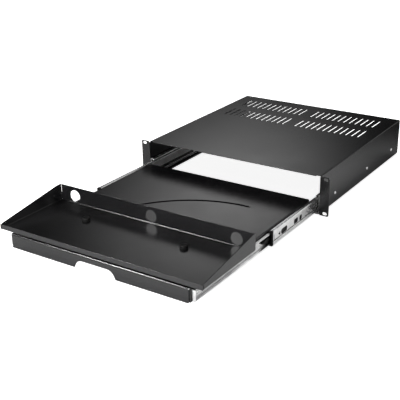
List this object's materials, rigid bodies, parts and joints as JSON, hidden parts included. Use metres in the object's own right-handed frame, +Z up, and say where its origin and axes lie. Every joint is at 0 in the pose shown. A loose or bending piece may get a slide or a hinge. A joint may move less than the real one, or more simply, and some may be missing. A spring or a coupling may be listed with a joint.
{
  "type": "rack keyboard drawer",
  "caption": "Drawer unit for a 19-inch rack: a vented steel case with ears, and a shelf on ball slides that carries a keyboard tray on a lockable swivel.",
  "frame": {"origin": "middle of the four rack slots, on the back faces of the two ears, which is the rack's front plane", "axes": "+X to the right seen from the front, +Y into the rack, +Z up; the drawer comes out along -Y"},
  "size_m": [0.4826, 0.9165, 0.087],
  "materials": {
    "black_steel": "satin powder coat",
    "zinc_steel": "bright zinc plate",
    "black_plastic": "moulded satin",
    "nylon": "natural nylon"
  },
  "bodies": {
    "case": {"housing": "black_steel", "left_outer_rail": "zinc_steel", "right_outer_rail": "zinc_steel", "left_case_screws": "zinc_steel", "right_case_screws": "zinc_steel"},
    "drawer": {"drawer_shelf": "black_steel", "left_inner_rail": "zinc_steel", "right_inner_rail": "zinc_steel", "left_drawer_screws": "zinc_steel", "right_drawer_screws": "zinc_steel", "left_lever_pin": "zinc_steel", "right_lever_pin": "zinc_steel", "swivel_guide": "black_steel", "pivot_washer": "nylon", "pivot_nut": "zinc_steel"},
    "tray": {"keyboard_tray": "black_steel", "tray_glides": "nylon", "lock_washer": "nylon", "lock_nut": "zinc_steel"},
    "pivot_knob_body": {"pivot_knob": "black_plastic"},
    "lock_knob_body": {"lock_knob": "black_plastic"},
    "left_middle": {"left_middle_rail": "zinc_steel", "left_front_bumper": "black_plastic"},
    "left_outer_bearing": {"left_outer_cage": "black_plastic", "left_outer_balls": "zinc_steel"},
    "left_inner_bearing": {"left_inner_cage": "black_plastic", "left_inner_balls": "zinc_steel"},
    "left_lever": {"left_release_lever": "black_plastic"},
    "right_middle": {"right_middle_rail": "zinc_steel", "right_front_bumper": "black_plastic"},
    "right_outer_bearing": {"right_outer_cage": "black_plastic", "right_outer_balls": "zinc_steel"},
    "right_inner_bearing": {"right_inner_cage": "black_plastic", "right_inner_balls": "zinc_steel"},
    "right_lever": {"right_release_lever": "black_plastic"}
  },
  "joints": [
    {"name": "drawer_slide", "type": "slide", "parent": "case", "child": "drawer", "axis": [0, 1, 0], "range_m": [0, 0.175]},
    {"name": "tray_swivel", "type": "hinge", "parent": "drawer", "child": "tray", "pos_m": [0.1165, -0.3515, 0], "axis": [0, 0, 1], "range_deg": [-90, 0]},
    {"name": "pivot_knob_turn", "type": "hinge", "parent": "drawer", "child": "pivot_knob_body", "pos_m": [0.1165, -0.3515, 0], "axis": [0, 0, 1], "continuous": true},
    {"name": "lock_knob_turn", "type": "hinge", "parent": "tray", "child": "lock_knob_body", "pos_m": [-0.1165, -0.3515, 0], "axis": [0, 0, 1], "continuous": true},
    {"name": "left_middle_slide", "type": "slide", "parent": "case", "child": "left_middle", "axis": [0, 1, 0], "range_m": [0, 0.0875]},
    {"name": "left_outer_bearing_slide", "type": "slide", "parent": "case", "child": "left_outer_bearing", "axis": [0, 1, 0], "range_m": [0, 0.04375]},
    {"name": "left_inner_bearing_slide", "type": "slide", "parent": "case", "child": "left_inner_bearing", "axis": [0, 1, 0], "range_m": [0, 0.13125]},
    {"name": "left_lever_tilt", "type": "hinge", "parent": "drawer", "child": "left_lever", "pos_m": [-0.2093, -0.1915, -0.02], "axis": [1, 0, 0], "range_deg": [0, 5], "stiffness_Nm_per_rad": 0.05},
    {"name": "right_middle_slide", "type": "slide", "parent": "case", "child": "right_middle", "axis": [0, 1, 0], "range_m": [0, 0.0875]},
    {"name": "right_outer_bearing_slide", "type": "slide", "parent": "case", "child": "right_outer_bearing", "axis": [0, 1, 0], "range_m": [0, 0.04375]},
    {"name": "right_inner_bearing_slide", "type": "slide", "parent": "case", "child": "right_inner_bearing", "axis": [0, 1, 0], "range_m": [0, 0.13125]},
    {"name": "right_lever_tilt", "type": "hinge", "parent": "drawer", "child": "right_lever", "pos_m": [0.2093, -0.1915, -0.02], "axis": [1, 0, 0], "range_deg": [0, 5], "stiffness_Nm_per_rad": 0.05}
  ],
  "couplings": [
    {"joint": "left_middle_slide", "follows": "drawer_slide", "ratio": 0.5},
    {"joint": "left_outer_bearing_slide", "follows": "drawer_slide", "ratio": 0.25},
    {"joint": "left_inner_bearing_slide", "follows": "drawer_slide", "ratio": 0.75},
    {"joint": "right_middle_slide", "follows": "drawer_slide", "ratio": 0.5},
    {"joint": "right_outer_bearing_slide", "follows": "drawer_slide", "ratio": 0.25},
    {"joint": "right_inner_bearing_slide", "follows": "drawer_slide", "ratio": 0.75}
  ]
}
